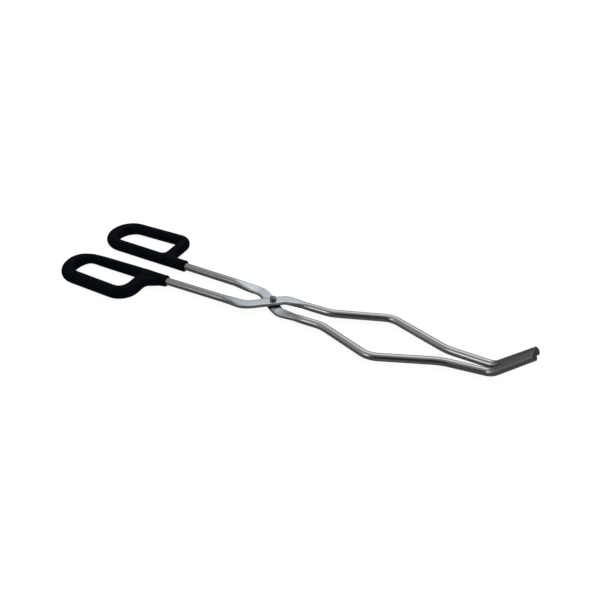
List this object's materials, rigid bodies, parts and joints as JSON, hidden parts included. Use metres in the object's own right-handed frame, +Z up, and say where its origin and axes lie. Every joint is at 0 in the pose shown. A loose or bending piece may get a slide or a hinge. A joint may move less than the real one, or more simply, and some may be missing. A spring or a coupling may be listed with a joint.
{
  "type": "crucible tongs",
  "caption": "Long steel-rod crucible tongs: riveted scissor arms, bowed jaws, upturned round tips and black dipped finger loops.",
  "frame": {"origin": "middle of the closed tongs' bounding box in X and Y, at the underside of the dipped grips, on which the tongs lie", "axes": "+X along the tongs from the finger loops to the tips, +Y across towards the top arm's jaw, +Z up, the way the tips are bent"},
  "size_m": [0.5054, 0.1256, 0.043],
  "materials": {
    "rod_steel": "satin drawn stainless bar, polished smooth",
    "grip_plastic": "matt black dipped soft PVC",
    "rivet_steel": "darker satin steel"
  },
  "bodies": {
    "bottom_arm_body": {"bottom_arm": "rod_steel", "bottom_grip": "grip_plastic", "pivot_rivet": "rivet_steel"},
    "top_arm_body": {"top_arm": "rod_steel", "top_grip": "grip_plastic"}
  },
  "joints": [
    {"name": "pivot", "type": "hinge", "parent": "bottom_arm_body", "child": "top_arm_body", "pos_m": [-0.01221, 0, 0.0066], "axis": [0, 0, 1], "range_deg": [0, 40]}
  ]
}
